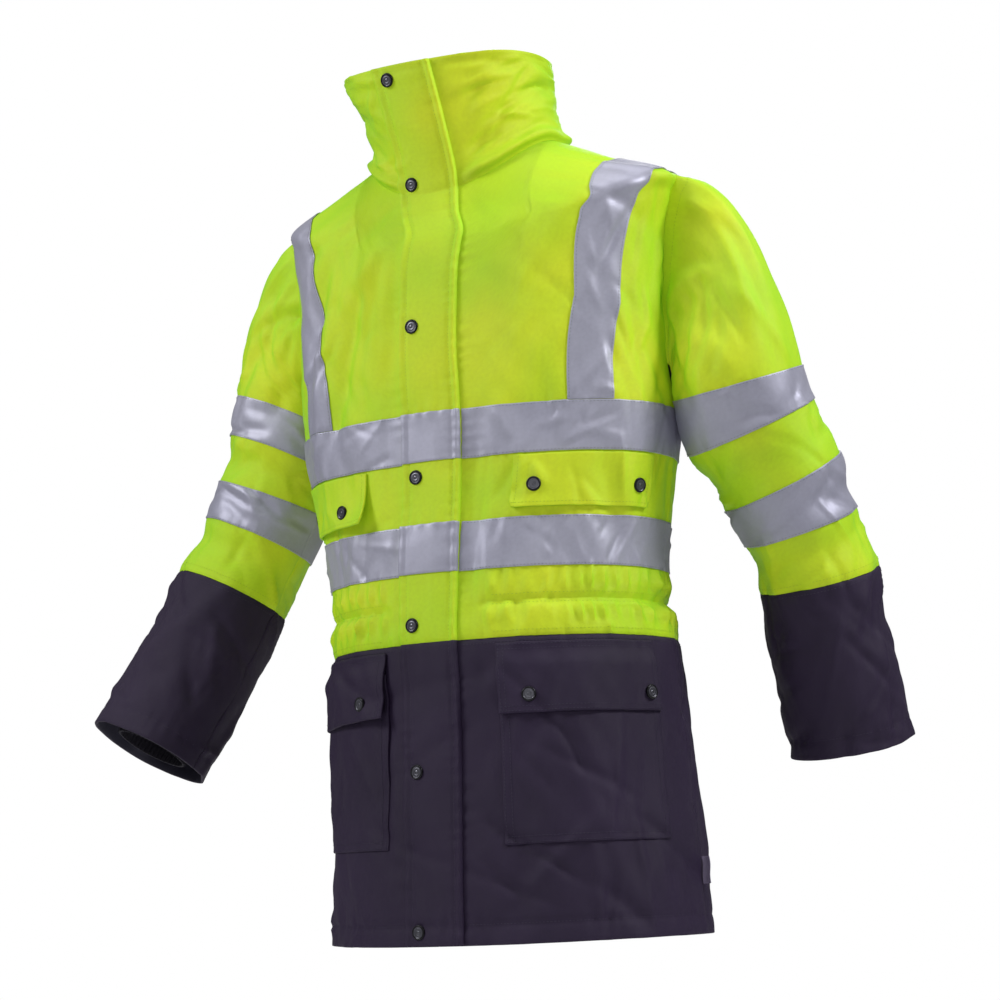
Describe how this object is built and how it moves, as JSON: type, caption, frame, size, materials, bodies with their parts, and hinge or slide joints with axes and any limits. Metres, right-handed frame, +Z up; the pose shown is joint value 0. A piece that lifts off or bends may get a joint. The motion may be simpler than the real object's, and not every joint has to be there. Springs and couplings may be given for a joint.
{
  "type": "high-visibility work jacket",
  "caption": "Padded thigh-length work jacket in worn form, high-visibility upper with reflective tapes, dark skirt and forearms, stand collar and snapped storm flap.",
  "frame": {"origin": "middle of the neck opening, level with the sides of the neck seam", "axes": "+Z up the wearer's body, the wearer faces -Y, and the wearer's left arm is on +X"},
  "size_m": [0.852, 0.353, 0.936],
  "materials": {
    "yellow": "coated plain weave, matt",
    "navy": "coated plain weave, matt",
    "tape": "reflective silver, soft sheen",
    "knit": "ribbed knit, matt",
    "snap": "black, half gloss",
    "label": "woven ribbon, matt"
  },
  "bodies": {
    "root": {"back_navy": "navy", "back_yellow": "yellow", "brace_left_back": "tape", "brace_left_front": "tape", "brace_right_back": "tape", "brace_right_front": "tape", "chest_flap_left": "yellow", "chest_flap_right": "yellow", "chest_tape_back": "tape", "chest_tape_left": "tape", "chest_tape_placket": "tape", "chest_tape_right": "tape", "collar": "yellow", "front_left_navy": "navy", "front_left_yellow": "yellow", "front_right_navy": "navy", "front_right_yellow": "yellow", "lower_flap_left": "navy", "lower_flap_right": "navy", "lower_pocket_left": "navy", "lower_pocket_right": "navy", "placket_navy": "navy", "placket_yellow": "yellow", "side_tab": "label", "sleeve_left_navy": "navy", "sleeve_left_tape_lower": "tape", "sleeve_left_tape_upper": "tape", "sleeve_left_yellow": "yellow", "sleeve_right_navy": "navy", "sleeve_right_tape_lower": "tape", "sleeve_right_tape_upper": "tape", "sleeve_right_yellow": "yellow", "snap_chest_left_1": "snap", "snap_chest_left_2": "snap", "snap_chest_right_1": "snap", "snap_chest_right_2": "snap", "snap_collar_1": "snap", "snap_collar_2": "snap", "snap_lower_left_1": "snap", "snap_lower_left_2": "snap", "snap_lower_right_1": "snap", "snap_lower_right_2": "snap", "snap_placket_1": "snap", "snap_placket_2": "snap", "snap_placket_3": "snap", "snap_placket_4": "snap", "snap_placket_5": "snap", "storm_cuff_left": "knit", "storm_cuff_right": "knit", "stud_chest_right": "snap", "waist_tape_back": "tape", "waist_tape_left": "tape", "waist_tape_placket": "tape", "waist_tape_right": "tape"}
  },
  "joints": []
}
